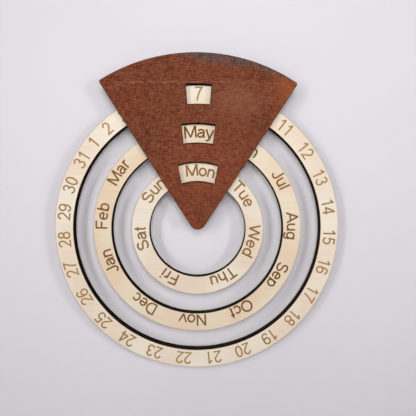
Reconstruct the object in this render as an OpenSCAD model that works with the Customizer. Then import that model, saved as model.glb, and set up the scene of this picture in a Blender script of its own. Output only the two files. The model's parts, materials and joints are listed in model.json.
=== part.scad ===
// Perpetual wall calendar, cut from plywood sheets.
// Three rings, for the date, the month and the weekday, hang on rails between two sector plates
// and turn by hand behind the windows of the front plate.
// The front faces -Y, the wall is the plane y = 0 and +Z is up.
// The origin is the centre of the keyhole on the wall, and sketches are drawn about the rings' centre.

/* [Rings] */
// Outer diameter of the date ring
date_ring_d = 250; // [235:1:290]
// Width of each ring's band
ring_w = 15.8; // [13:0.1:18]
// Open space between one ring and the next
ring_gap = 17.6; // [15:0.1:20]
// Thickness of one sheet of ring and rail plywood; a ring is two sheets
ply_t = 4; // [3:0.5:6]

/* [Front plate] */
// How far the front plate rises above the date ring
plate_rise = 26.5; // [25:0.5:40]
// Angle between the straight edges of the front plate
plate_angle = 65.6; // [64:0.2:74]
// How far the sharp point of the front plate would lie below the rings' centre
point_drop = 5.9; // [4:0.1:12]
// Radius of the rounded point
point_round = 7; // [3:0.5:9]
// Radius of the two upper corners
corner_round = 2; // [1:0.5:4]
// Thickness of the front plate
front_t = 4; // [3:0.5:6]

/* [Windows] */
// Height of every window, along the radius
window_h = 17.2; // [14:0.2:19]
// Width of the date window at its middle
date_window_w = 20.8; // [16:0.2:26]
// Width of the month window at its middle
month_window_w = 27.6; // [24:0.2:34]
// Width of the weekday window at its middle
weekday_window_w = 32.6; // [26:0.2:36]
// How far the middle of the date window lies below the middle of its ring's band
date_window_drop = 0.4; // [0:0.1:1.5]
// How far the middle of the month window lies below the middle of its ring's band
month_window_drop = 0.3; // [0:0.1:1.5]
// How far the middle of the weekday window lies below the middle of its ring's band
weekday_window_drop = 0.1; // [0:0.1:1.5]
// How far below the rings' centre the sides of the windows would meet
window_focus_drop = 30; // [15:1:45]

/* [Back plate and rails] */
// Thickness of the back plate
back_t = 4; // [3:0.5:6]
// How far the back plate stays inside the outline of the front plate
back_inset = 2; // [1:0.5:4]
// How far the rails stay inside the outline of the front plate
rail_inset = 6; // [4.5:0.5:7]
// Width of the two seats at the ends of a rail that a ring hangs on
seat_w = 4.5; // [3:0.5:6]
// Depth of the relief between the seats of a rail
relief_depth = 2.5; // [1.5:0.1:4]
// Gap between a ring and the rail that it hangs on
seat_clear = 0.3; // [0.2:0.05:0.6]
// Gap between a ring and the rail above it, so that the ring can lift a little
lift_clear = 1; // [0.6:0.1:2]
// Running gap on each side of a ring, between the plates
side_clear = 0.4; // [0.3:0.05:0.8]

/* [Wood screws] */
// Diameter of the screws
screw_d = 3; // [2.5:0.1:3.5]
// Diameter of the countersunk heads
screw_head_d = 6; // [5:0.1:7]
// Depth that the screws bite into the front plate
screw_bite = 2.3; // [1.5:0.1:2.5]
// Length of the screws' pointed tips
screw_tip = 1.6; // [1:0.1:2]
// Width of the slots of the cross recess in a head
recess_w = 0.8; // [0.5:0.1:1]
// Length of the slots of the cross recess in a head
recess_l = 3.4; // [2.5:0.1:4]
// Depth of the cross recess in a head
recess_depth = 0.9; // [0.5:0.1:1.2]
// Clearance round a screw in its holes, on the radius
screw_clear = 0.1; // [0.05:0.01:0.3]
// Angle of the top spacer's screws from the middle
top_screw_angle = 17; // [12:0.5:20]
// Angle of the date rail's screws from the middle
date_screw_angle = 20; // [12:0.5:23]
// Angle of the month rail's screws from the middle
month_screw_angle = 22; // [18:0.5:24]
// Distance of the weekday rail's upper screw below its ring
weekday_screw_drop = 11; // [8:0.5:13]
// Distance of the weekday rail's lower screw above the rail's rounded point
weekday_screw_rise = 6.5; // [5:0.5:8]

/* [Keyhole] */
// How far the middle of the keyhole's entry lies above the date ring
keyhole_rise = 10; // [9:0.5:12]
// Diameter of the entry, which lets the head of a wall screw in
keyhole_entry_d = 9; // [8:0.1:10]
// Width of the slot, which holds the neck of the wall screw
keyhole_slot_w = 4.4; // [3.5:0.1:4.8]
// How far the slot runs up from the middle of the entry
keyhole_slot_l = 8; // [7:0.5:9]
// Room round the head of the wall screw, in the spacer behind the keyhole
keyhole_room = 1.5; // [1:0.1:2]

/* [Hidden] */
$fn = 96;

// Colours
birch = [0.88, 0.82, 0.71];
mahogany = [0.46, 0.24, 0.17];
card = [0.55, 0.45, 0.34];
zinc = [0.72, 0.72, 0.70];

// Radii of the rings
date_out = date_ring_d / 2;
date_in = date_out - ring_w;
month_out = date_in - ring_gap;
month_in = month_out - ring_w;
weekday_out = month_in - ring_gap;
weekday_in = weekday_out - ring_w;

// Depths of the sheets, counted from the wall
shim_t = 2 * side_clear;
shim_depth = back_t;
rail_back_depth = shim_depth + shim_t;
rail_front_depth = rail_back_depth + ply_t;
front_depth = rail_front_depth + ply_t;
ring_back_depth = back_t + side_clear;
ring_face_depth = ring_back_depth + ply_t;

// Front plate
half_angle = plate_angle / 2;
plate_r = date_out + plate_rise + point_drop;

// Keyhole
keyhole_z = date_out + keyhole_rise;

// Screws
screw_sink = 0.1;
screw_head_h = (screw_head_d - screw_d) / 2;
screw_end = front_depth + screw_bite;
pilot_end = screw_end + screw_clear;
top_screw_r = keyhole_z;
date_screw_r = (date_in + month_out) / 2;
month_screw_r = (month_in + weekday_out) / 2;
weekday_high_z = weekday_in - weekday_screw_drop;
weekday_low_z = tip_middle(rail_inset) - point_round + weekday_screw_rise;
screw_points = concat(
    [for (side = [-1, 1]) polar(top_screw_r, side * top_screw_angle)],
    [for (side = [-1, 1]) polar(date_screw_r, side * date_screw_angle)],
    [for (side = [-1, 1]) polar(month_screw_r, side * month_screw_angle)],
    [for (z = [weekday_high_z, weekday_low_z]) [0, z]]
);

// A rounded point or corner stands this far proud, so that it crosses the edges that it blends
blend = 0.01;

// A cut reaches this far past a face, and a wedge is drawn this long
over = 1;
far = 2 * plate_r;

// Point at a radius and an angle clockwise from straight up
function polar(r, a) = [r * sin(a), r * cos(a)];

// Height of the sharp point of the plate outline, and of the middle of its rounding, at an inset
function sharp_point(inset) = inset / sin(half_angle) - point_drop;
function tip_middle(inset) = sharp_point(inset) + point_round / sin(half_angle);

// One laser-cut sheet: its sketch, upright, at a depth from the wall
module sheet(depth, thickness) {
    translate([0, -depth, -keyhole_z])
        rotate([90, 0, 0])
            linear_extrude(height = thickness) children();
}

// Puts a shape that points away from the wall along +Z at every screw
module at_screws() {
    for (p = screw_points)
        translate([p[0], 0, p[1] - keyhole_z])
            rotate([90, 0, 0]) children();
}

module annulus(r_in, r_out) {
    difference() {
        circle(r = r_out);
        circle(r = r_in);
    }
}

// Wedge that opens upward from a point on the middle line
module wedge(z, half) {
    translate([0, z])
        polygon([[0, 0], polar(far, -half), [0, 2 * far], polar(far, half)]);
}

// Outline of the front plate, or of a sheet that stays inside it by an inset
module plate_outline(inset = 0) {
    r = plate_r - inset;
    tip_z = tip_middle(inset);
    tip_cut = tip_z - point_round * sin(half_angle);
    // Middle of an upper corner's arc, from the middle of the top arc
    corner_inset = inset + corner_round;
    start = corner_inset / sin(half_angle);
    along = sqrt(pow(r - corner_round, 2) - pow(corner_inset, 2)) - start * cos(half_angle);
    middle = [along * sin(half_angle), start + along * cos(half_angle)];
    // The corner's arc runs from the straight edge to the top arc
    on_edge = middle + corner_round * [cos(half_angle), -sin(half_angle)];
    on_arc = middle * r / norm(middle);
    chord = on_arc - on_edge;
    out = far * [chord[1], -chord[0]] / norm(chord);
    corner_cut = [on_edge, on_edge + out, on_arc + out, on_arc];
    difference() {
        intersection() {
            translate([0, -point_drop]) circle(r = r);
            wedge(sharp_point(inset), half_angle);
        }
        translate([-far / 2, tip_cut - far]) square(far);
        for (side = [-1, 1])
            translate([0, -point_drop])
                polygon([for (p = corner_cut) [side * p[0], p[1]]]);
    }
    translate([0, tip_z]) circle(r = point_round + blend);
    for (side = [-1, 1])
        translate([side * middle[0], middle[1] - point_drop]) circle(r = corner_round + blend);
}

// Window in front of a ring, whose arcs follow the ring
module window(r_in, drop, width) {
    middle = r_in + ring_w / 2 - drop;
    intersection() {
        annulus(middle - window_h / 2, middle + window_h / 2);
        wedge(-window_focus_drop, atan(width / 2 / (middle + window_focus_drop)));
    }
}

// Rail that a ring hangs on: the ring rests on a seat at each end, with a relief between them
module rail_sketch(ring_in, inner_r) {
    seat_r = ring_in - seat_clear;
    difference() {
        intersection() {
            circle(r = seat_r);
            plate_outline(rail_inset);
        }
        if (inner_r > 0) circle(r = inner_r);
        intersection() {
            annulus(seat_r - relief_depth, ring_in);
            plate_outline(rail_inset + seat_w);
        }
        screw_holes();
    }
}

module screw_holes() {
    for (p = screw_points)
        translate(p) circle(d = screw_d + 2 * screw_clear);
}

module date_rail_sketch() {
    rail_sketch(date_in, month_out + lift_clear);
}

module month_rail_sketch() {
    rail_sketch(month_in, weekday_out + lift_clear);
}

// The innermost rail has no ring inside it, so it runs down to the point of the plates
module weekday_rail_sketch() {
    rail_sketch(weekday_in, 0);
}

// The top spacer lies above the date ring and keeps the plates apart there
module top_spacer_sketch() {
    difference() {
        plate_outline(rail_inset);
        circle(r = date_out + lift_clear);
        screw_holes();
    }
}

// Entry and slot of the keyhole, or the room behind them
module keyhole_sketch(entry_d, slot_w) {
    translate([0, keyhole_z]) circle(d = entry_d);
    translate([0, keyhole_z + keyhole_slot_l]) circle(d = slot_w);
    translate([-slot_w / 2, keyhole_z]) square([slot_w, keyhole_slot_l]);
}

module keyhole_pocket() {
    pocket_w = keyhole_entry_d + 2 * keyhole_room;
    keyhole_sketch(pocket_w, pocket_w);
}

module front_plate() {
    color(mahogany)
        difference() {
            sheet(front_depth, front_t)
                difference() {
                    plate_outline();
                    window(date_in, date_window_drop, date_window_w);
                    window(month_in, month_window_drop, month_window_w);
                    window(weekday_in, weekday_window_drop, weekday_window_w);
                }
            at_screws() cylinder(h = pilot_end, d = screw_d + 2 * screw_clear);
        }
}

module back_plate() {
    color(birch)
        difference() {
            sheet(0, back_t)
                difference() {
                    plate_outline(back_inset);
                    keyhole_sketch(keyhole_entry_d, keyhole_slot_w);
                }
            at_screws() countersunk_hole();
        }
}

// Hole for a screw through the back plate, with the seat of its head
module countersunk_hole() {
    hole_r = screw_d / 2 + screw_clear;
    seat_r = screw_head_d / 2 + screw_clear;
    rotate_extrude()
        polygon([
            [0, -over],
            [seat_r, -over],
            [seat_r, screw_sink],
            [hole_r, screw_sink + screw_head_h],
            [hole_r, back_t + over],
            [0, back_t + over]
        ]);
}

// Screw with a countersunk head, a pointed tip and a cross recess
module wood_screw() {
    difference() {
        rotate_extrude()
            polygon([
                [0, screw_sink],
                [screw_head_d / 2, screw_sink],
                [screw_d / 2, screw_sink + screw_head_h],
                [screw_d / 2, screw_end - screw_tip],
                [0, screw_end]
            ]);
        for (turn = [0, 90])
            rotate([0, 0, turn])
                translate([-recess_l / 2, -recess_w / 2, screw_sink - over])
                    cube([recess_l, recess_w, over + recess_depth]);
    }
}

module wood_screws() {
    color(zinc) at_screws() wood_screw();
}

module top_spacer_front() {
    color(birch) sheet(rail_front_depth, ply_t) top_spacer_sketch();
}

module top_spacer_back() {
    color(birch)
        sheet(rail_back_depth, ply_t)
            difference() {
                top_spacer_sketch();
                keyhole_pocket();
            }
}

module top_spacer_shim() {
    color(card)
        sheet(shim_depth, shim_t)
            difference() {
                top_spacer_sketch();
                keyhole_pocket();
            }
}

module date_rail_front() {
    color(birch) sheet(rail_front_depth, ply_t) date_rail_sketch();
}

module date_rail_back() {
    color(birch) sheet(rail_back_depth, ply_t) date_rail_sketch();
}

module date_rail_shim() {
    color(card) sheet(shim_depth, shim_t) date_rail_sketch();
}

module month_rail_front() {
    color(birch) sheet(rail_front_depth, ply_t) month_rail_sketch();
}

module month_rail_back() {
    color(birch) sheet(rail_back_depth, ply_t) month_rail_sketch();
}

module month_rail_shim() {
    color(card) sheet(shim_depth, shim_t) month_rail_sketch();
}

module weekday_rail_front() {
    color(birch) sheet(rail_front_depth, ply_t) weekday_rail_sketch();
}

module weekday_rail_back() {
    color(birch) sheet(rail_back_depth, ply_t) weekday_rail_sketch();
}

module weekday_rail_shim() {
    color(card) sheet(shim_depth, shim_t) weekday_rail_sketch();
}

module date_ring_face() {
    color(birch) sheet(ring_face_depth, ply_t) annulus(date_in, date_out);
}

module date_ring_back() {
    color(birch) sheet(ring_back_depth, ply_t) annulus(date_in, date_out);
}

module month_ring_face() {
    color(birch) sheet(ring_face_depth, ply_t) annulus(month_in, month_out);
}

module month_ring_back() {
    color(birch) sheet(ring_back_depth, ply_t) annulus(month_in, month_out);
}

module weekday_ring_face() {
    color(birch) sheet(ring_face_depth, ply_t) annulus(weekday_in, weekday_out);
}

module weekday_ring_back() {
    color(birch) sheet(ring_back_depth, ply_t) annulus(weekday_in, weekday_out);
}

front_plate();
back_plate();
top_spacer_front();
top_spacer_back();
top_spacer_shim();
date_rail_front();
date_rail_back();
date_rail_shim();
month_rail_front();
month_rail_back();
month_rail_shim();
weekday_rail_front();
weekday_rail_back();
weekday_rail_shim();
date_ring_face();
date_ring_back();
month_ring_face();
month_ring_back();
weekday_ring_face();
weekday_ring_back();
wood_screws();
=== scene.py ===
"""Looks of the perpetual wall calendar: three turning rings behind a stained pointer plate on a wall.

Outlines are drawn in millimetres on the plane of the wall, with x to the right and z up,
both measured from the centre that the rings turn about. Meshes are made in metres.
"""
import json
import math

import bmesh
import bpy
from mathutils import Matrix, Vector
from mathutils.geometry import delaunay_2d_cdt


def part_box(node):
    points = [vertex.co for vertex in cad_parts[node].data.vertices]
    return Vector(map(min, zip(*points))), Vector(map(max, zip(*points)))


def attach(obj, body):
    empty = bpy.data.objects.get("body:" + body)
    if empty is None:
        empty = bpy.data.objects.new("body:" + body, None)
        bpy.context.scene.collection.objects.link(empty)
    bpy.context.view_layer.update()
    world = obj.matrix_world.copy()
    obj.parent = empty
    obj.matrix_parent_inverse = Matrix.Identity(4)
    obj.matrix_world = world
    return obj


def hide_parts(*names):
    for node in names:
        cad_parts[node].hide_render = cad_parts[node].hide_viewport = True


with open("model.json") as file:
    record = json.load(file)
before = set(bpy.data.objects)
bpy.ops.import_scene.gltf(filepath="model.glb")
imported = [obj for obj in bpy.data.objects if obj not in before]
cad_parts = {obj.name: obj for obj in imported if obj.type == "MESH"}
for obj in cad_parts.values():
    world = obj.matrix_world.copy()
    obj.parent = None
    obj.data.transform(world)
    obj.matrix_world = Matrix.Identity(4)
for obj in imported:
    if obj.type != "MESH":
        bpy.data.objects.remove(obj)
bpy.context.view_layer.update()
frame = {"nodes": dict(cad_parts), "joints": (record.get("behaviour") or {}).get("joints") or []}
nodes = frame["nodes"]

MM = 0.001
RING_CENTRE = Vector(frame["joints"][0]["pos_m"])

# Rings
RING_W = 15.8
RING_OUTER_R = {"date": 125.0, "month": 91.6, "weekday": 58.2}
CIRCLE_STEPS = 256

# Pointer plate: a sector whose sides would meet below the rings' centre, with a rounded point and corners
PLATE_HALF_ANGLE = 32.8
PLATE_POINT_DROP = 5.9
PLATE_RADIUS = 157.4
PLATE_POINT_ROUND = 7.0
PLATE_CORNER_ROUND = 2.0
PLATE_TOP_STEPS = 96
ROUND_STEPS = 12
LEAST_ROUND = 0.01

# Windows of the plate: height, how far below the rings' centre their sides meet, width at the middle, and how
# far that lies below the middle of the ring's band
WINDOW_H = 17.2
WINDOW_FOCUS_DROP = 30.0
WINDOW_W = {"date": 20.8, "month": 27.6, "weekday": 32.6}
WINDOW_DROP = {"date": 0.4, "month": 0.3, "weekday": 0.1}
WINDOW_ARC_STEPS = 24

# Back plate: how far it and the rails lie inside the pointer plate's outline, its keyhole, and its
# countersunk holes, the upper ones by their radius and angle
BACK_INSET = 2.0
RAIL_INSET = 6.0
KEYHOLE_Z = 135.0
KEYHOLE_ENTRY_R = 4.5
KEYHOLE_SLOT_R = 2.2
KEYHOLE_SLOT_L = 8.0
SCREW_HOLE_R = 1.6
SCREW_SEAT_R = 3.1
SCREW_SEAT_DEPTH = 1.6
SCREW_RINGS = ((135.0, 17.0), (100.4, 20.0), (67.0, 22.0))
SCREW_HIGH_Z = 31.4
SCREW_LOW_RISE = 6.5

# Laser cutting: eased edge, scorched rims on fronts and backs and on the pointer plate, the band of the
# innermost rail's face painted charred black as shade, and an engraved line's depth, width and least distance
# to an edge
EASED_EDGE = 0.15
FRONT_RIM = 0.6
BACK_RIM = 2.2
PLATE_RIM = 0.6
RAIL_SHADE_BAND = 1.2
ENGRAVED_DEPTH = 0.4
ENGRAVED_LINE = {"date": 1.35, "month": 1.5, "weekday": 1.55}
ENGRAVED_MARGIN = 0.3

# Meshes: the bend in degrees from which an edge is sharp, distances at which points are one, the least cosine
# that a mitre is drawn out for, and the order of a sheet's finishes
SHARP_ANGLE = 30
SAME_POINT = 1e-6
WELD_DISTANCE = 1e-5
LEAST_MITRE = 0.5
FACE, EDGE, ENGRAVED = 0, 1, 2

# Lettering: capital height, width against the alphabet below, radius of its middle, how far each ring's
# engraving lies right of and above the middle of the ring, and how far single labels lie out of line and
# their size against the others
LETTER_H = {"date": 10.9, "month": 10.4, "weekday": 10.3}
LETTER_W = {"date": 0.86, "month": 0.97, "weekday": 1.0}
LETTER_MID_R = {"date": 117.4, "month": 84.3, "weekday": 50.7}
LETTER_OFFSET = {"date": (-0.1, 0.3), "month": (-0.1, 2.5), "weekday": (-0.3, 1.7)}
LABEL_OUT = {"7": 0.2, "Apr": -1.5, "May": -1.5, "Jun": -1.5, "Mon": -0.5}
LABEL_SIZE = {"7": 1.1, "Mon": 0.97}
LETTER_ARC_STEPS = 10
LONG_ARC_STEPS = 18
OVAL_STEPS = 24

# Burn of the lettering, from golden at nought to dark brown at one, and how it wavers from label to label
BURN = {"date": 0.12, "month": 0.85, "weekday": 0.55}
BURN_SPREAD = 0.12
BURN_WAVER = 5


def arc(centre_x, centre_z, width_r, height_r, start, end, steps=LETTER_ARC_STEPS):
    """Points along an ellipse's arc, angles in degrees anticlockwise from the right."""
    points = []
    for step in range(steps + 1):
        angle = math.radians(start + (end - start) * step / steps)
        points.append((centre_x + width_r * math.cos(angle), centre_z + height_r * math.sin(angle)))
    return points


def oval(centre_x, centre_z, width_r, height_r):
    """Points round an ellipse, the first one again at the end."""
    return arc(centre_x, centre_z, width_r, height_r, 0, 360, OVAL_STEPS)


def polar(radius, angle):
    """Point at a radius and an angle in degrees clockwise from straight up."""
    turn = math.radians(angle)
    return Vector((radius * math.sin(turn), radius * math.cos(turn)))


# One-line grotesque alphabet: each letter has its advance and the middle lines of its strokes,
# in capital heights above the base line. First come the heights of strokes along the top of small letters,
# along the top of capitals and along the foot
X_TOP = 0.68
TOP = 0.948
FOOT = 0.052
ALPHABET = {
    "0": (0.78, [oval(0.39, 0.5, 0.27, 0.448)]),
    "1": (0.78, [[(0.17, 0.75), (0.33, 0.84), (0.47, 1)], [(0.465, 0), (0.465, 1)]]),
    "2": (0.78, [arc(0.38, 0.69, 0.265, 0.258, 172, -38) + [(0.12, FOOT), (0.7, FOOT)]]),
    "3": (0.78, [arc(0.375, 0.735, 0.235, 0.213, 165, -90), arc(0.375, 0.29, 0.28, 0.238, 90, -165)]),
    "4": (0.78, [[(0.53, 0), (0.53, 1)], [(0.51, 0.97), (0.06, 0.285)], [(0.03, 0.285), (0.74, 0.285)]]),
    "5": (0.78, [[(0.67, TOP), (0.215, TOP), (0.14, 0.48)], arc(0.375, 0.33, 0.285, 0.278, 147, -163)]),
    "6": (0.78, [oval(0.39, 0.31, 0.275, 0.258), arc(0.4, 0.6, 0.285, 0.348, 27, 180) + [(0.115, 0.31)]]),
    "7": (0.78, [[(0.08, TOP), (0.68, TOP), (0.5, 0.7), (0.37, 0.42), (0.29, 0.15), (0.27, 0)]]),
    "8": (0.78, [oval(0.39, 0.735, 0.23, 0.213), oval(0.39, 0.29, 0.28, 0.238)]),
    "9": (0.78, [oval(0.39, 0.69, 0.275, 0.258), arc(0.38, 0.4, 0.285, 0.348, 207, 360) + [(0.665, 0.69)]]),
    "A": (0.93, [[(0.04, 0), (0.465, 0.98)], [(0.89, 0), (0.465, 0.98)], [(0.19, 0.33), (0.74, 0.33)]]),
    "D": (1.01, [[(0.165, 0), (0.165, 1)], [(0.165, TOP), (0.48, TOP)] + arc(0.48, 0.5, 0.43, 0.448, 90, -90)
                 + [(0.165, FOOT)]]),
    "F": (0.85, [[(0.165, 0), (0.165, 1)], [(0.165, TOP), (0.8, TOP)], [(0.165, 0.51), (0.71, 0.51)]]),
    "J": (0.70, [[(0.55, 1)] + arc(0.315, 0.28, 0.235, 0.228, 0, -172)]),
    "M": (1.16, [[(0.125, 0), (0.125, 1)], [(1.035, 0), (1.035, 1)], [(0.15, 0.98), (0.58, 0.04)],
                 [(1.01, 0.98), (0.58, 0.04)]]),
    "N": (1.01, [[(0.155, 0), (0.155, 1)], [(0.85, 0), (0.85, 1)], [(0.17, 0.96), (0.835, 0.04)]]),
    "O": (1.09, [oval(0.545, 0.5, 0.44, 0.448)]),
    "S": (0.93, [arc(0.455, 0.725, 0.3, 0.223, 12, 236) + arc(0.47, 0.275, 0.335, 0.223, 60, -168)]),
    "T": (0.85, [[(0.03, TOP), (0.82, TOP)], [(0.425, 0), (0.425, TOP)]]),
    "W": (1.32, [[(0.05, 1), (0.34, 0.03)], [(0.33, 0.03), (0.66, 0.97)], [(0.66, 0.97), (0.99, 0.03)],
                 [(0.98, 0.03), (1.27, 1)]]),
    "a": (0.78, [arc(0.37, 0.49, 0.245, 0.188, 165, 0) + [(0.62, 0.14), (0.66, 0)],
                 [(0.615, 0.44), (0.34, 0.395)] + arc(0.32, 0.22, 0.215, 0.168, 100, 300) + [(0.61, 0.27)]]),
    "b": (0.78, [[(0.14, 0), (0.14, 1)], oval(0.4, 0.365, 0.265, 0.313)]),
    "c": (0.70, [arc(0.37, 0.365, 0.27, 0.313, 38, 322, LONG_ARC_STEPS)]),
    "d": (0.78, [[(0.64, 0), (0.64, 1)], oval(0.38, 0.365, 0.265, 0.313)]),
    "e": (0.78, [[(0.12, 0.38), (0.66, 0.38)], arc(0.385, 0.365, 0.275, 0.313, 0, 325, LONG_ARC_STEPS)]),
    "g": (0.78, [oval(0.375, 0.365, 0.26, 0.313), [(0.635, 0.73)] + arc(0.385, -0.02, 0.25, 0.18, 0, -160)]),
    "h": (0.78, [[(0.14, 0), (0.14, 1)], arc(0.385, 0.43, 0.245, 0.248, 180, 0) + [(0.63, 0)]]),
    "i": (0.31, [[(0.155, 0), (0.155, 0.73)], [(0.155, 0.87), (0.155, 1)]]),
    "l": (0.31, [[(0.155, 0), (0.155, 1)]]),
    "n": (0.78, [[(0.14, 0), (0.14, 0.73)], arc(0.385, 0.43, 0.245, 0.248, 180, 0) + [(0.63, 0)]]),
    "o": (0.78, [oval(0.39, 0.365, 0.285, 0.313)]),
    "p": (0.78, [[(0.14, -0.27), (0.14, 0.73)], oval(0.4, 0.365, 0.265, 0.313)]),
    "r": (0.47, [[(0.14, 0), (0.14, 0.73)], arc(0.36, 0.42, 0.22, 0.258, 180, 75)]),
    "t": (0.39, [[(0.19, 0.95)] + arc(0.29, 0.16, 0.1, 0.108, 180, 285), [(0.02, X_TOP), (0.36, X_TOP)]]),
    "u": (0.78, [[(0.64, 0), (0.64, 0.73)], [(0.15, 0.73)] + arc(0.395, 0.3, 0.245, 0.248, 180, 360)]),
    "v": (0.70, [[(0.03, 0.73), (0.355, 0.03)], [(0.67, 0.73), (0.345, 0.03)]]),
    "y": (0.70, [[(0.03, 0.73), (0.36, 0.02)],
                 [(0.67, 0.73), (0.365, -0.07), (0.3, -0.165), (0.21, -0.2), (0.09, -0.19)]]),
}

# Labels round each ring, in degrees clockwise from the top: dates and months follow each other with even gaps
# that change a little on the way, and the weekdays are set one by one
DATES = [str(date) for date in range(1, 32)]
DATE_START = 309.5
DATE_GAPS = [4.85] * 9 + [6.08] * 18 + [4.75] * 3
MONTHS = ["Jan", "Feb", "Mar", "Apr", "May", "Jun", "Jul", "Aug", "Sep", "Oct", "Nov", "Dec"]
MONTH_START = 247.9
MONTH_GAPS = [11.9] * 4 + [14.6] * 7
WEEKDAY_ANGLES = {"Mon": 3, "Tue": 54, "Wed": 104, "Thu": 152.5, "Fri": 208.5, "Sat": 258, "Sun": 310}


def label_angle(ring, word):
    """How much of its ring a label takes up, in degrees."""
    advance = sum(ALPHABET[letter][0] for letter in word)
    return math.degrees(advance * LETTER_H[ring] * LETTER_W[ring] / LETTER_MID_R[ring])


def in_turn(ring, words, start, gaps):
    """The middles of labels that follow each other round a ring, each a gap after the one before it."""
    middles = {words[0]: start}
    for before, word, gap in zip(words, words[1:], gaps):
        half_widths = (label_angle(ring, before) + label_angle(ring, word)) / 2
        middles[word] = middles[before] + half_widths + gap
    return middles


LABELS = {
    "date": in_turn("date", DATES, DATE_START, DATE_GAPS),
    "month": in_turn("month", MONTHS, MONTH_START, MONTH_GAPS),
    "weekday": WEEKDAY_ANGLES,
}


def stroke_quads(line, width):
    """Four-sided pieces, anticlockwise, that give a middle line its width, mitred where they meet."""
    half = width / 2
    points = [Vector(point) for point in line]
    closed = (points[0] - points[-1]).length < SAME_POINT
    sides = []
    for i, point in enumerate(points):
        before = points[i - 1] if i > 0 else (points[-2] if closed else None)
        after = points[i + 1] if i + 1 < len(points) else (points[1] if closed else None)
        ways = [way.normalized() for way in (before and point - before, after and after - point) if way]
        normals = [Vector((-way.y, way.x)) for way in ways]
        across = sum(normals, Vector((0, 0))).normalized()
        reach = half / max(across.dot(normals[0]), LEAST_MITRE)
        sides.append((point + across * reach, point - across * reach))
    quads = [(a[1], b[1], b[0], a[0]) for a, b in zip(sides, sides[1:])]
    return [quad if (quad[2] - quad[0]).cross(quad[3] - quad[1]) > 0 else quad[::-1] for quad in quads]


def on_band(ring, point):
    """Draws a point of a stroke in along its radius where the stroke would run off the ring."""
    clear = ENGRAVED_MARGIN + ENGRAVED_LINE[ring] / 2
    outer = RING_OUTER_R[ring]
    radius = min(max(point.length, outer - RING_W + clear), outer - clear)
    return point * radius / point.length


def engraved_lines(ring):
    """The strokes of every label of a ring as four-sided pieces, each with its burn strength."""
    offset = Vector(LETTER_OFFSET[ring])
    pieces = []
    for number, (word, angle) in enumerate(LABELS[ring].items()):
        burn = BURN[ring] + BURN_SPREAD * math.sin(BURN_WAVER * number)
        height = LETTER_H[ring] * LABEL_SIZE.get(word, 1)
        width = height * LETTER_W[ring]
        base_r = LETTER_MID_R[ring] - height / 2 + LABEL_OUT.get(word, 0)
        run = -sum(ALPHABET[letter][0] for letter in word) / 2
        for letter in word:
            advance, strokes = ALPHABET[letter]
            turn = angle + math.degrees((run + advance / 2) * width / LETTER_MID_R[ring])
            run += advance
            outward = polar(1, turn)
            along = polar(1, turn + 90)
            for stroke in strokes:
                line = [
                    outward * (base_r + z * height) + along * (x - advance / 2) * width + offset
                    for x, z in stroke
                ]
                quads = stroke_quads([on_band(ring, point) for point in line], ENGRAVED_LINE[ring])
                pieces += [(quad, burn) for quad in quads]
    return pieces


def ring_loops(ring, inset):
    """Outer and inner circle of a ring, both drawn into its band by an inset."""
    outer = RING_OUTER_R[ring] - inset
    inner = RING_OUTER_R[ring] - RING_W + inset
    return [arc(0, 0, r, r, 0, 360, CIRCLE_STEPS)[:-1] for r in (outer, inner)]


def plate_loop(inside, inset):
    """Outline of a sheet that lies inside the pointer plate's edges, drawn in by an inset.

    It has a rounded point below, two rounded corners and an arc above.
    """
    half = math.radians(PLATE_HALF_ANGLE)
    point_z = (inside + PLATE_POINT_ROUND) / math.sin(half) - PLATE_POINT_DROP
    corner_r = PLATE_RADIUS - inside - PLATE_CORNER_ROUND
    corner_turn = PLATE_HALF_ANGLE - math.degrees(math.asin((inside + PLATE_CORNER_ROUND) / corner_r))
    corner_x, corner_z = polar(corner_r, corner_turn) - Vector((0, PLATE_POINT_DROP))
    point_round = PLATE_POINT_ROUND - inset
    corner_round = max(PLATE_CORNER_ROUND - inset, LEAST_ROUND)
    top_r = PLATE_RADIUS - inside - inset
    left = 180 + PLATE_HALF_ANGLE
    right = 360 - PLATE_HALF_ANGLE
    top = 90 - corner_turn
    return (
        arc(0, point_z, point_round, point_round, left, right, ROUND_STEPS)
        + arc(corner_x, corner_z, corner_round, corner_round, -PLATE_HALF_ANGLE, top, ROUND_STEPS)[:-1]
        + arc(0, -PLATE_POINT_DROP, top_r, top_r, top, 180 - top, PLATE_TOP_STEPS)
        + arc(-corner_x, corner_z, corner_round, corner_round, 180 - top, left, ROUND_STEPS)[1:]
    )


def window_loop(ring, inset):
    """A window: two arcs about the rings' centre and two sides that meet at a focus below it."""
    middle = RING_OUTER_R[ring] - RING_W / 2 - WINDOW_DROP[ring]
    half = math.atan(WINDOW_W[ring] / 2 / (middle + WINDOW_FOCUS_DROP))
    way = Vector((math.sin(half), math.cos(half)))
    start = Vector((0, -WINDOW_FOCUS_DROP)) + Vector((way.y, -way.x)) * inset
    loop = []
    for radius, turn in ((middle + WINDOW_H / 2 + inset, 1), (middle - WINDOW_H / 2 - inset, -1)):
        reach = math.sqrt(start.dot(way) ** 2 - start.length_squared + radius ** 2) - start.dot(way)
        corner = start + way * reach
        side = math.degrees(math.atan2(corner.y, corner.x))
        ends = (side, 180 - side) if turn > 0 else (180 - side, side)
        loop += arc(0, 0, radius, radius, *ends, WINDOW_ARC_STEPS)
    return loop


def pointer_plate_loops(inset):
    """Outline of the pointer plate and its windows, all drawn into the sheet by an inset."""
    return [plate_loop(0, inset)] + [window_loop(ring, inset) for ring in WINDOW_W]


def keyhole_loop(inset):
    """A round entry with a slot above it."""
    entry_r = KEYHOLE_ENTRY_R + inset
    slot_r = KEYHOLE_SLOT_R + inset
    join = math.degrees(math.acos(slot_r / entry_r))
    return (
        arc(0, KEYHOLE_Z, entry_r, entry_r, 180 - join, 360 + join, 2 * ROUND_STEPS)
        + arc(0, KEYHOLE_Z + KEYHOLE_SLOT_L, slot_r, slot_r, 0, 180, ROUND_STEPS)
    )


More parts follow.
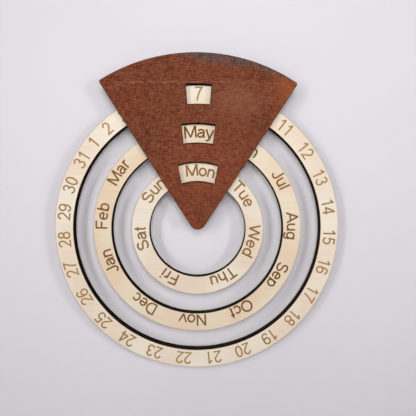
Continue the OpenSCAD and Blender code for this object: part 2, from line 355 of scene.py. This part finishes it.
def screw_spots():
    """Middles of the screws: two through each upper sheet and two through the innermost rail."""
    half = math.radians(PLATE_HALF_ANGLE)
    point_z = (RAIL_INSET + PLATE_POINT_ROUND) / math.sin(half) - PLATE_POINT_DROP
    low_z = point_z - PLATE_POINT_ROUND + SCREW_LOW_RISE
    pairs = [polar(radius, side * angle) for radius, angle in SCREW_RINGS for side in (-1, 1)]
    return pairs + [(0, SCREW_HIGH_Z), (0, low_z)]


def back_plate_loops(inset, hole_r):
    """Outline of the back plate, its keyhole and its screw holes, all drawn into the sheet by an inset."""
    holes = [oval(x, z, hole_r + inset, hole_r + inset)[:-1] for x, z in screw_spots()]
    return [plate_loop(BACK_INSET, inset), keyhole_loop(inset)] + holes


def triangulate(loops, rims=(), strokes=()):
    """Triangles inside the first loop and outside the others, with the strokes that cover each."""
    points = []
    faces = []
    for loop in [*loops, *rims, *strokes]:
        faces.append(list(range(len(points), len(points) + len(loop))))
        points += [Vector(point) for point in loop]
    keep_inside = 1
    made = delaunay_2d_cdt(points, [], faces, keep_inside, WELD_DISTANCE, True)
    spots, _, triangles, spot_origins, _, triangle_origins = made
    holes = set(range(1, len(loops)))
    first_stroke = len(loops) + len(rims)
    kept = []
    for triangle, origins in zip(triangles, triangle_origins):
        if 0 in origins and not holes.intersection(origins):
            kept.append((triangle, [origin - first_stroke for origin in origins if origin >= first_stroke]))
    place = {origin: spot for spot, origins in enumerate(spot_origins) for origin in origins}
    loop_spots = [[place[i] for i in face] for face in faces[:len(loops)]]
    return spots, kept, loop_spots


def eased_sections(loops_at, thickness):
    """Outlines of a plain sheet at four depths from its front, with both edges eased."""
    return [
        (0, loops_at(EASED_EDGE)),
        (EASED_EDGE, loops_at(0)),
        (thickness - EASED_EDGE, loops_at(0)),
        (thickness, loops_at(EASED_EDGE)),
    ]


def cut_sheet(name, node, sections, rims, engraving=()):
    """A laser-cut sheet in the place of a node: outlines from its front to its back, with scorched rims.

    The rims are drawn inside the first and the last outline, and lines are engraved in the front.
    """
    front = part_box(node)[0].y
    bm = bmesh.new()
    scorch = bm.verts.layers.float.new("scorch")
    burn = bm.faces.layers.float.new("burn")

    def put(point, depth, scorched):
        """A corner of the mesh at a point of an outline, a depth behind the sheet's front."""
        x, z = point
        vert = bm.verts.new((RING_CENTRE.x + x * MM, front + depth * MM, RING_CENTRE.z + z * MM))
        vert[scorch] = scorched
        return vert

    def cap(depth, loops, rim, strokes=()):
        """One face of the sheet, with the lines sunk in it; gives the corners along its loops."""
        spots, triangles, loop_spots = triangulate(loops, rim, [quad for quad, _ in strokes])
        lip = {spot for loop in loop_spots for spot in loop}
        levels = ({}, {})
        borders = {}
        for triangle, covering in triangles:
            level = 1 if covering else 0
            level_depth = depth + level * ENGRAVED_DEPTH
            for spot in triangle:
                if spot not in levels[level]:
                    levels[level][spot] = put(spots[spot], level_depth, float(spot in lip))
            face = bm.faces.new([levels[level][spot] for spot in triangle])
            face.material_index = ENGRAVED if covering else FACE
            face[burn] = strokes[covering[0]][1] if covering else 0.0
            for i in range(3):
                border = frozenset((triangle[i], triangle[i - 1]))
                borders.setdefault(border, []).append((level, face[burn]))
        for (a, b), sides in borders.items():
            if len(sides) == 2 and sides[0][0] != sides[1][0]:
                wall = bm.faces.new([levels[0][a], levels[0][b], levels[1][b], levels[1][a]])
                wall.material_index = ENGRAVED
                wall[burn] = max(side[1] for side in sides)
        return [[levels[0][spot] for spot in loop] for loop in loop_spots]

    rows = [cap(*sections[0], rims[0], engraving)]
    for depth, loops in sections[1:-1]:
        rows.append([[put(point, depth, 1.0) for point in loop] for loop in loops])
    rows.append(cap(*sections[-1], rims[1]))
    for upper_loops, lower_loops in zip(rows, rows[1:]):
        for upper, lower in zip(upper_loops, lower_loops):
            for i in range(len(upper)):
                side = bm.faces.new([upper[i - 1], upper[i], lower[i], lower[i - 1]])
                side.material_index = EDGE

    bmesh.ops.recalc_face_normals(bm, faces=bm.faces)
    mesh = bpy.data.meshes.new(name)
    bm.to_mesh(mesh)
    bm.free()
    mesh.polygons.foreach_set("use_smooth", [True] * len(mesh.polygons))
    mesh.set_sharp_from_angle(angle=math.radians(SHARP_ANGLE))
    sheet = bpy.data.objects.new(name, mesh)
    bpy.context.scene.collection.objects.link(sheet)
    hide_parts(node)
    return sheet


def sheet_thickness(node):
    """How thick a node's sheet is, in millimetres."""
    low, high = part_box(node)
    return (high.y - low.y) / MM


# Patterns of the finishes, in millimetres, along x, y and z where there are three. Grain, fibres, flecks and
# spangle are finer on the real sheets and screws, and are drawn as coarse as they need to show
PLY_SHEET = 4.0
SOOT_MARK = (1.2, 6, 1.2)
BIRCH_PATCH = 38
BIRCH_GRAIN = (26, 26, 1.3)
BURN_MOTTLE = 5
STAIN_CLOUD = 30
STAIN_FIBRE = (4.5, 4.5, 0.65)
STAIN_FLECK = (0.6, 3, 3)
CARD_FIBRE = 1.5
ZINC_SPANGLE = 1.0
PAINT_PATCH = 250

# Soft marks on the pointer plate, the pale patch beside the upper window being a painted sheen: the middle of
# each patch, its half width and half height in millimetres, and its turn in degrees
DARK_STREAK = (((9, 148.6), 36, 8.5, 8), ((36, 145.4), 28, 8, 5), ((60, 139.6), 28, 7, 20))
SEAM = (((-28, 126.2), 84, 0.6, -1.3), ((-70, 123), 16, 0.6, -14), ((44, 126.4), 46, 0.45, 0))
# Painted sheen: a pale tan patch beside the upper window, standing in for light that glances off the plate
PAINTED_SHEEN_PATCH = (((34, 112), 32, 20, 0),)
RED_CORNER = (((80, 121), 26, 22, 0),)
LIGHT_BELOW = (((8, 50), 55, 62, 0),)

# Strengths of the marks: birch grain, scorched rims, flecks against fibres, pale fibres, and how raggedly
# the dark streak and the painted sheen fade
GRAIN_STRENGTH = 0.33
RIM_SCORCH = 0.5
FLECK_SHARE = 0.45
PALE_FIBRE = 0.38
RAGGED_RANGE = 1.4
RAGGED_LEAST = 0.5

# Shader sockets and values: a colour mix's factor, colours and result, a number mix's numbers, the length of
# a wave texture's band at scale one, how squarely a flat face looks to the front or back, and a size that
# leaves a direction out
FACTOR, COLOUR_A, COLOUR_B, MIXED = 0, 6, 7, 2
NUMBER_A, NUMBER_B = 2, 3
WAVE_BAND = math.tau / 20
FLAT_FACE = 0.9
ENDLESS = 1e6


def hex_colour(text):
    """An sRGB hex value as the linear colour that a socket takes."""
    channels = [int(text[i:i + 2], 16) / 255 for i in (1, 3, 5)]
    return (*[c / 12.92 if c <= 0.04045 else ((c + 0.055) / 1.055) ** 2.4 for c in channels], 1.0)


def per_metre(size):
    """How many patterns of a size in millimetres fit into a metre, for a texture's scale."""
    return 1 / (size * MM)


def add(tree, kind, inputs=None, stops=None, **settings):
    """Adds a shader node with its settings, its socket values and links, and a ramp's two stops."""
    node = tree.nodes.new("ShaderNode" + kind)
    for name, value in settings.items():
        setattr(node, name, value)
    for socket, value in (inputs or {}).items():
        if isinstance(value, bpy.types.NodeSocket):
            tree.links.new(value, node.inputs[socket])
        else:
            node.inputs[socket].default_value = value
    for i, (place, colour) in enumerate(stops or []):
        stop = node.color_ramp.elements[i]
        stop.position = place
        stop.color = hex_colour(colour)
    return node


def new_material(name):
    """A new material, its node tree and its main shader."""
    made = bpy.data.materials.new(name)
    made.use_nodes = True
    return made, made.node_tree, made.node_tree.nodes["Principled BSDF"]


def on_plate(x, z):
    """A spot on the front of the pointer plate, in metres."""
    return (RING_CENTRE.x + x * MM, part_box("front_plate")[0].y, RING_CENTRE.z + z * MM)


def soft_patches(tree, coords, patches):
    """One in the middle of soft oval patches on the pointer plate, nought outside them."""
    joined = None
    for spot, half_width, half_height, turn in patches:
        space = add(tree, "Mapping", {
            "Vector": coords, "Location": on_plate(*spot), "Rotation": (0, math.radians(turn), 0),
            "Scale": (half_width * MM, 1, half_height * MM),
        }, vector_type="TEXTURE")
        fade = add(tree, "TexGradient", {"Vector": space.outputs[0]}, gradient_type="SPHERICAL")
        patch = fade.outputs["Fac"]
        if joined is None:
            joined = patch
        else:
            joined = add(tree, "Math", {0: joined, 1: patch}, operation="MAXIMUM").outputs[0]
    return joined


def charred_colour(tree, coords):
    """Soot black, with a browner band across each sheet's thickness and fine marks across them."""
    ply_sheet = PLY_SHEET * MM
    sheet_bands = add(tree, "TexWave", {
        "Vector": coords, "Scale": WAVE_BAND / ply_sheet, "Distortion": 0.4,
        "Phase Offset": math.pi - math.tau * RING_CENTRE.y / ply_sheet,
    }, bands_direction="Y")
    soot_space = add(tree, "Mapping", {"Vector": coords, "Scale": [per_metre(size) for size in SOOT_MARK]})
    soot = add(tree, "TexNoise", {"Vector": soot_space.outputs[0], "Scale": 1.0, "Detail": 3.0})
    both = add(tree, "Math", {0: sheet_bands.outputs["Fac"], 1: soot.outputs["Fac"]}, operation="MULTIPLY")
    colour = add(tree, "ValToRGB", {0: both.outputs[0]}, stops=[(0.14, "#030202"), (0.62, "#30221b")])
    return colour.outputs[0]


def charred_edge():
    """Plywood edge cut by a laser: charred, so almost black and with hardly any gloss."""
    made, tree, shader = new_material("plywood edge, laser charred")
    coords = add(tree, "TexCoord").outputs["Object"]
    tree.links.new(charred_colour(tree, coords), shader.inputs["Base Color"])
    shader.inputs["Roughness"].default_value = 0.9
    shader.inputs["Specular IOR Level"].default_value = 0.03
    return made


def birch_plywood(name, darker, paler, painted_shade_r=None):
    """Sanded birch plywood: smooth cream with soft patches between two tones and a faint level grain.

    Its rims are toasted by the laser and faces that look sideways are charred cut edges. Where a radius is
    given, all that lies outside it is painted the same charred black as painted shade.
    """
    made, tree, shader = new_material(name)
    geometry = add(tree, "TexCoord")
    coords = geometry.outputs["Object"]
    patches = add(tree, "TexNoise", {"Vector": coords, "Scale": per_metre(BIRCH_PATCH), "Detail": 1.5})
    tone = add(tree, "ValToRGB", {0: patches.outputs["Fac"]}, stops=[(0.36, darker), (0.6, paler)])
    grain_space = add(tree, "Mapping", {"Vector": coords, "Scale": [per_metre(size) for size in BIRCH_GRAIN]})
    grain = add(tree, "TexNoise", {"Vector": grain_space.outputs[0], "Scale": 1.0, "Detail": 4.0})
    shade = add(tree, "ValToRGB", {0: grain.outputs["Fac"]}, stops=[(0.3, "#eee5d9"), (0.7, "#ffffff")])
    veneer = add(tree, "Mix", {
        FACTOR: GRAIN_STRENGTH, COLOUR_A: tone.outputs[0], COLOUR_B: shade.outputs[0],
    }, data_type="RGBA", blend_type="MULTIPLY")
    scorch = add(tree, "Attribute", attribute_name="scorch")
    toast = add(tree, "Math", {0: scorch.outputs["Fac"], 1: RIM_SCORCH}, operation="MULTIPLY")
    toasted = add(tree, "Mix", {
        FACTOR: toast.outputs[0], COLOUR_A: veneer.outputs[MIXED], COLOUR_B: hex_colour("#b98f5e"),
    }, data_type="RGBA")
    facing = add(tree, "SeparateXYZ", {0: geometry.outputs["Normal"]})
    flat = add(tree, "Math", {0: facing.outputs["Y"]}, operation="ABSOLUTE")
    edges = add(tree, "Math", {0: flat.outputs[0], 1: FLAT_FACE}, operation="LESS_THAN")
    # Painted shade: charred black outside the radius, for the shadowed gap below a ring
    if painted_shade_r:
        spread = add(tree, "Mapping", {
            "Vector": coords, "Location": RING_CENTRE, "Scale": (painted_shade_r * MM, ENDLESS, painted_shade_r * MM),
        }, vector_type="TEXTURE")
        reach = add(tree, "VectorMath", {0: spread.outputs[0]}, operation="LENGTH")
        outside = add(tree, "Math", {0: reach.outputs["Value"], 1: 1.0}, operation="GREATER_THAN")
        edges = add(tree, "Math", {0: edges.outputs[0], 1: outside.outputs[0]}, operation="MAXIMUM")
    colour = add(tree, "Mix", {
        FACTOR: edges.outputs[0], COLOUR_A: toasted.outputs[MIXED], COLOUR_B: charred_colour(tree, coords),
    }, data_type="RGBA")
    tree.links.new(colour.outputs[MIXED], shader.inputs["Base Color"])
    rough = add(tree, "MapRange", {"Value": grain.outputs["Fac"], "To Min": 0.5, "To Max": 0.65})
    tree.links.new(rough.outputs[0], shader.inputs["Roughness"])
    shader.inputs["Specular IOR Level"].default_value = 0.25
    bump = add(tree, "Bump", {"Height": grain.outputs["Fac"], "Strength": 0.2, "Distance": 0.1 * MM})
    tree.links.new(bump.outputs[0], shader.inputs["Normal"])
    return made


def burnt_engraving():
    """Birch burnt by a laser: golden where the beam ran fast, dark brown where it dwelt, dull and rough."""
    made, tree, shader = new_material("birch, laser engraved")
    coords = add(tree, "TexCoord").outputs["Object"]
    burn = add(tree, "Attribute", attribute_name="burn")
    mottle = add(tree, "TexNoise", {"Vector": coords, "Scale": per_metre(BURN_MOTTLE), "Detail": 2.0})
    light = add(tree, "ValToRGB", {0: mottle.outputs["Fac"]}, stops=[(0.35, "#a38849"), (0.65, "#ab814a")])
    dark = add(tree, "ValToRGB", {0: mottle.outputs["Fac"]}, stops=[(0.35, "#6a4a14"), (0.65, "#7a4416")])
    colour = add(tree, "Mix", {
        FACTOR: burn.outputs["Fac"], COLOUR_A: light.outputs[0], COLOUR_B: dark.outputs[0],
    }, data_type="RGBA")
    tree.links.new(colour.outputs[MIXED], shader.inputs["Base Color"])
    shader.inputs["Roughness"].default_value = 0.85
    shader.inputs["Specular IOR Level"].default_value = 0.1
    return made


def stained_plywood():
    """Plywood stained mahogany: dark red brown, with fine paler level fibres crossed by short flecks.

    A dark blue-grey streak runs along its top edge, a paler veneer seam runs past the top of the upper
    window, a painted sheen lies pale tan beside that window, and the plate is redder at the right corner and
    lighter below.
    """
    made, tree, shader = new_material("plywood, mahogany stained")
    coords = add(tree, "TexCoord").outputs["Object"]
    cloud = add(tree, "TexNoise", {"Vector": coords, "Scale": per_metre(STAIN_CLOUD), "Detail": 3.0})
    stain = add(tree, "ValToRGB", {0: cloud.outputs["Fac"]}, stops=[(0.3, "#4e1808"), (0.7, "#5a200b")])
    fibre_space = add(tree, "Mapping", {"Vector": coords, "Scale": [per_metre(size) for size in STAIN_FIBRE]})
    fibre = add(tree, "TexNoise", {"Vector": fibre_space.outputs[0], "Scale": 1.0, "Detail": 2.0})
    fleck_space = add(tree, "Mapping", {"Vector": coords, "Scale": [per_metre(size) for size in STAIN_FLECK]})
    fleck = add(tree, "TexNoise", {"Vector": fleck_space.outputs[0], "Scale": 1.0, "Detail": 2.0})
    weave = add(tree, "Mix", {
        FACTOR: FLECK_SHARE, NUMBER_A: fibre.outputs["Fac"], NUMBER_B: fleck.outputs["Fac"],
    })

    ragged = add(tree, "Math", {0: weave.outputs[0], 1: RAGGED_RANGE, 2: RAGGED_LEAST},
                 operation="MULTIPLY_ADD")
    # The dark blue-grey streak along the top edge
    dark_streak = add(tree, "Math", {0: soft_patches(tree, coords, DARK_STREAK), 1: ragged.outputs[0]},
                operation="MULTIPLY", use_clamp=True)
    streaked = add(tree, "Mix", {
        FACTOR: dark_streak.outputs[0], COLOUR_A: stain.outputs[0], COLOUR_B: hex_colour("#323239"),
    }, data_type="RGBA")
    # Painted sheen beside the upper window, fading as raggedly as the dark streak
    painted_sheen = add(tree, "Math", {0: soft_patches(tree, coords, PAINTED_SHEEN_PATCH), 1: ragged.outputs[0]},
               operation="MULTIPLY", use_clamp=True)
    sheened = add(tree, "Mix", {
        FACTOR: painted_sheen.outputs[0], COLOUR_A: streaked.outputs[MIXED], COLOUR_B: hex_colour("#6c3b2b"),
    }, data_type="RGBA")
    reddened = add(tree, "Mix", {
        FACTOR: soft_patches(tree, coords, RED_CORNER), COLOUR_A: sheened.outputs[MIXED],
        COLOUR_B: hex_colour("#7b3a1e"),
    }, data_type="RGBA")
    lightened = add(tree, "Mix", {
        FACTOR: soft_patches(tree, coords, LIGHT_BELOW), COLOUR_A: reddened.outputs[MIXED],
        COLOUR_B: hex_colour("#682a16"),
    }, data_type="RGBA")
    pale = add(tree, "MapRange", {
        "Value": weave.outputs[0], "From Min": 0.4, "From Max": 0.62, "To Max": PALE_FIBRE,
    })
    veneer = add(tree, "Mix", {
        FACTOR: pale.outputs[0], COLOUR_A: lightened.outputs[MIXED], COLOUR_B: hex_colour("#aa6f4c"),
    }, data_type="RGBA")

    seam_gaps = add(tree, "MapRange", {"Value": fibre.outputs["Fac"], "From Min": 0.35, "From Max": 0.65})
    seam = add(tree, "Math", {0: soft_patches(tree, coords, SEAM), 1: seam_gaps.outputs[0]},
               operation="MULTIPLY")
    seamed = add(tree, "Mix", {
        FACTOR: seam.outputs[0], COLOUR_A: veneer.outputs[MIXED], COLOUR_B: hex_colour("#a8714f"),
    }, data_type="RGBA")
    scorch = add(tree, "Attribute", attribute_name="scorch")
    singe = add(tree, "Math", {0: scorch.outputs["Fac"], 1: RIM_SCORCH}, operation="MULTIPLY")
    singed = add(tree, "Mix", {
        FACTOR: singe.outputs[0], COLOUR_A: seamed.outputs[MIXED], COLOUR_B: hex_colour("#23120d"),
    }, data_type="RGBA")
    tree.links.new(singed.outputs[MIXED], shader.inputs["Base Color"])
    rough = add(tree, "MapRange", {"Value": weave.outputs[0], "To Min": 0.5, "To Max": 0.7})
    tree.links.new(rough.outputs[0], shader.inputs["Roughness"])
    shader.inputs["Specular IOR Level"].default_value = 0.09
    bump = add(tree, "Bump", {"Height": weave.outputs[0], "Strength": 0.3, "Distance": 0.12 * MM})
    tree.links.new(bump.outputs[0], shader.inputs["Normal"])
    return made


def pressed_card():
    """Grey-brown pressed card: felted fibres, dull."""
    made, tree, shader = new_material("grey board, pressed")
    coords = add(tree, "TexCoord").outputs["Object"]
    fibres = add(tree, "TexNoise", {"Vector": coords, "Scale": per_metre(CARD_FIBRE), "Detail": 4.0})
    colour = add(tree, "ValToRGB", {0: fibres.outputs["Fac"]}, stops=[(0.3, "#8d8374"), (0.7, "#b5aa98")])
    tree.links.new(colour.outputs[0], shader.inputs["Base Color"])
    shader.inputs["Roughness"].default_value = 0.9
    return made


def zinc_steel():
    """Zinc-plated steel: bright blue-grey with a fine cloudy spangle."""
    made, tree, shader = new_material("steel, zinc plated")
    coords = add(tree, "TexCoord").outputs["Object"]
    cloud = add(tree, "TexNoise", {"Vector": coords, "Scale": per_metre(ZINC_SPANGLE), "Detail": 3.0})
    colour = add(tree, "ValToRGB", {0: cloud.outputs["Fac"]}, stops=[(0.3, "#b4b8bb"), (0.7, "#d5d7d8")])
    tree.links.new(colour.outputs[0], shader.inputs["Base Color"])
    rough = add(tree, "MapRange", {"Value": cloud.outputs["Fac"], "To Min": 0.25, "To Max": 0.45})
    tree.links.new(rough.outputs[0], shader.inputs["Roughness"])
    shader.inputs["Metallic"].default_value = 1.0
    return made


# Finishes
# The weekday rails' faces are charred black outside this radius, as painted shade in the gap below the
# weekday ring
rail_shade_r = RING_OUTER_R["weekday"] - RING_W - RAIL_SHADE_BAND
birch = birch_plywood("birch plywood, sanded and laser cut", "#e5d3bf", "#e9dece")
shaded_rail_birch = birch_plywood("birch plywood, rail with painted shade", "#e5d3bf", "#e9dece", rail_shade_r)
yellow_birch = birch_plywood("yellower birch plywood, sanded and laser cut", "#dfc9ae", "#e3d5be")
dull_birch = birch_plywood("duller birch plywood, sanded and laser cut", "#e1cfbb", "#e5daca")
ring_veneers = {"date": birch, "month": yellow_birch, "weekday": dull_birch}
charred = charred_edge()
engraved = burnt_engraving()
stained = stained_plywood()
card = pressed_card()
zinc = zinc_steel()


def finish_sheet(sheet, finishes, body):
    """Gives a sheet its finishes, for face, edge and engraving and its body."""
    for finish in finishes:
        sheet.data.materials.append(finish)
    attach(sheet, body)


# Rings: an engraved face sheet and a plain back sheet each
for ring in RING_OUTER_R:
    face_node = f"{ring}_ring_face"
    back_node = f"{ring}_ring_back"
    sections = eased_sections(lambda inset: ring_loops(ring, inset), sheet_thickness(face_node))
    rims = (ring_loops(ring, FRONT_RIM), ring_loops(ring, BACK_RIM))
    face_sheet = cut_sheet(f"{face_node}_sheet", face_node, sections, rims, engraved_lines(ring))
    back_sheet = cut_sheet(f"{back_node}_sheet", back_node, sections, rims)
    finish_sheet(face_sheet, (ring_veneers[ring], charred, engraved), f"{ring}_ring")
    finish_sheet(back_sheet, (ring_veneers[ring], charred), f"{ring}_ring")

# Pointer plate
plate_sections = eased_sections(pointer_plate_loops, sheet_thickness("front_plate"))
plate_rims = pointer_plate_loops(PLATE_RIM)
pointer_plate = cut_sheet("pointer_plate", "front_plate", plate_sections, (plate_rims, plate_rims))
finish_sheet(pointer_plate, (stained, charred), "holder")

# Back plate, with the seats of the screw heads in its back
back_t = sheet_thickness("back_plate")
back_sections = [
    (0, back_plate_loops(EASED_EDGE, SCREW_HOLE_R)),
    (EASED_EDGE, back_plate_loops(0, SCREW_HOLE_R)),
    (back_t - SCREW_SEAT_DEPTH, back_plate_loops(0, SCREW_HOLE_R)),
    (back_t - EASED_EDGE, back_plate_loops(0, SCREW_SEAT_R - EASED_EDGE)),
    (back_t, back_plate_loops(EASED_EDGE, SCREW_SEAT_R - EASED_EDGE)),
]
back_plate_rims = (back_plate_loops(FRONT_RIM, SCREW_HOLE_R), back_plate_loops(BACK_RIM, SCREW_SEAT_R))
wall_plate = cut_sheet("wall_plate", "back_plate", back_sections, back_plate_rims)
finish_sheet(wall_plate, (birch, charred), "holder")


def dress(node, finish):
    """Gives a node of the frame its finish."""
    nodes[node].data.materials.clear()
    nodes[node].data.materials.append(finish)


# Rails, spacer, shims and screws between the plates
for node in nodes:
    if node.endswith("_shim"):
        dress(node, card)
    elif node == "wood_screws":
        dress(node, zinc)
    # Weekday rails: birch with painted shade, charred black beyond the ring's inner edge
    elif node.startswith("weekday_rail_"):
        dress(node, shaded_rail_birch)
    elif "_rail_" in node or "_spacer_" in node:
        dress(node, birch)

# Wall and floor, in metres, and the light that the floor shows of its own
WALL_GAP = 0.3 * MM
WALL_HALF = 2.0
FLOOR_Z = -0.45
WALL_TOP = FLOOR_Z + 2 * WALL_HALF
FLOOR_SEEN = 0.35


def looked_at(tree):
    """One where a surface is looked at, straight or in a reflection, nought where it only gives light."""
    path = add(tree, "LightPath").outputs
    seen = add(tree, "Math", {0: path["Is Camera Ray"], 1: path["Is Glossy Ray"]}, operation="MAXIMUM")
    return seen.outputs[0]


def pale_paint(name, colour, one_sided=False, own_light=0.0):
    """Matt pale paint, with light of its own where it is only seen, so that it stays pale beyond the lamps.

    A one-sided wall shows only from the front. It lets light reach the back of the part, but not
    come back from there to the wall's front.
    """
    made, tree, shader = new_material(name)
    coords = add(tree, "TexCoord").outputs["Object"]
    unevenness = add(tree, "TexNoise", {"Vector": coords, "Scale": per_metre(PAINT_PATCH), "Detail": 1.0})
    tint = add(tree, "ValToRGB", {0: unevenness.outputs["Fac"]}, stops=[(0.3, colour[0]), (0.7, colour[1])])
    tree.links.new(tint.outputs[0], shader.inputs["Base Color"])
    shader.inputs["Roughness"].default_value = 0.9
    shader.inputs["Specular IOR Level"].default_value = 0.2
    if own_light:
        shine = add(tree, "Math", {0: looked_at(tree), 1: own_light}, operation="MULTIPLY")
        tree.links.new(tint.outputs[0], shader.inputs["Emission Color"])
        tree.links.new(shine.outputs[0], shader.inputs["Emission Strength"])
    if one_sided:
        path = add(tree, "LightPath").outputs
        returned = add(tree, "Math", {0: path["Is Shadow Ray"], 1: path["Diffuse Depth"]},
                       operation="MULTIPLY")
        solid = add(tree, "Math", {0: path["Is Camera Ray"], 1: returned.outputs[0]},
                    operation="MAXIMUM", use_clamp=True)
        behind = add(tree, "NewGeometry").outputs["Backfacing"]
        shown = add(tree, "Math", {0: solid.outputs[0], 1: behind}, operation="SUBTRACT", use_clamp=True)
        clear = add(tree, "BsdfTransparent")
        mixed = add(tree, "MixShader", {0: shown.outputs[0], 1: clear.outputs[0], 2: shader.outputs[0]})
        tree.links.new(mixed.outputs[0], tree.nodes["Material Output"].inputs["Surface"])
    return made


def plain_plane(name, corners, finish):
    """A flat part of the stage with four corners."""
    mesh = bpy.data.meshes.new(name)
    mesh.from_pydata(corners, [], [(0, 1, 2, 3)])
    mesh.materials.append(finish)
    plane = bpy.data.objects.new(name, mesh)
    bpy.context.scene.collection.objects.link(plane)


plain_plane("wall", [
    (-WALL_HALF, WALL_GAP, FLOOR_Z), (WALL_HALF, WALL_GAP, FLOOR_Z),
    (WALL_HALF, WALL_GAP, WALL_TOP), (-WALL_HALF, WALL_GAP, WALL_TOP),
], pale_paint("wall paint, matt", ("#d9d5da", "#dedadf"), one_sided=True))
plain_plane("floor", [
    (-WALL_HALF, -WALL_HALF, FLOOR_Z), (WALL_HALF, -WALL_HALF, FLOOR_Z),
    (WALL_HALF, WALL_HALF, FLOOR_Z), (-WALL_HALF, WALL_HALF, FLOOR_Z),
], pale_paint("floor paint, matt", ("#dedadc", "#e2dee0"), own_light=FLOOR_SEEN))

# Light: a faint even room, a window in front and above, a tall lamp on the left, a smaller one on the right
# and one behind. All but the last face a spot on the wall up to the right
WALL_ABOVE = (0.12, 0, 0.16)
ROOM_STRENGTH = 0.04
ROOM_SEEN = 0.85
world = bpy.data.worlds.new("room")
bpy.context.scene.world = world
world.use_nodes = True
room = world.node_tree
room_light = room.nodes["Background"]
room_light.inputs["Color"].default_value = hex_colour("#fbfaff")
strength = add(room, "MapRange", {"Value": looked_at(room), "To Min": ROOM_STRENGTH, "To Max": ROOM_SEEN})
room.links.new(strength.outputs[0], room_light.inputs["Strength"])


def soft_lamp(name, place, aim, width, height, watts):
    """A rectangular lamp that faces the point that it is aimed at."""
    lamp = bpy.data.lights.new(name, "AREA")
    lamp.shape = "RECTANGLE"
    lamp.size = width
    lamp.size_y = height
    lamp.energy = watts
    holder = bpy.data.objects.new(name, lamp)
    holder.location = place
    holder.rotation_euler = (Vector(aim) - Vector(place)).to_track_quat("-Z", "Y").to_euler()
    bpy.context.scene.collection.objects.link(holder)


soft_lamp("window_light", (0.03, -0.63, 0.1), WALL_ABOVE, width=0.3, height=0.36, watts=2.75)
soft_lamp("left_lamp", (-0.69, -0.85, 0.05), WALL_ABOVE, width=0.2, height=0.8, watts=4.6)
soft_lamp("right_lamp", (0.87, -0.85, 0.0), WALL_ABOVE, width=0.2, height=0.4, watts=3.4)
soft_lamp("rear_lamp", (-0.6, 0.9, 0.5), RING_CENTRE, width=0.5, height=0.5, watts=14.0)

# Camera: its place before the middle of the rings' faces, the width that it sees there, the width of its
# sensor in millimetres, and its turns in degrees down, to the right and anticlockwise
CAMERA_DISTANCE = 0.319
CAMERA_SIDE = 0.0031
CAMERA_RISE = 0.0366
VIEW_W = 0.3661
SENSOR_W = 36
CAMERA_PITCH = 3.19
CAMERA_YAW = 1.06
CAMERA_ROLL = 0.52
face_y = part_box("date_ring_face")[0].y
camera_data = bpy.data.cameras.new("camera")
camera_data.sensor_width = SENSOR_W
camera_data.lens = SENSOR_W * CAMERA_DISTANCE / VIEW_W
camera = bpy.data.objects.new("camera", camera_data)
camera.location = (CAMERA_SIDE, face_y - CAMERA_DISTANCE, RING_CENTRE.z + CAMERA_RISE)
camera.rotation_euler = (
    Matrix.Rotation(math.radians(-CAMERA_YAW), 3, "Z")
    @ Matrix.Rotation(math.radians(90 - CAMERA_PITCH), 3, "X")
    @ Matrix.Rotation(math.radians(CAMERA_ROLL), 3, "Z")
).to_euler()
bpy.context.scene.collection.objects.link(camera)
bpy.context.scene.camera = camera
bpy.context.scene.view_settings.view_transform = "Standard"
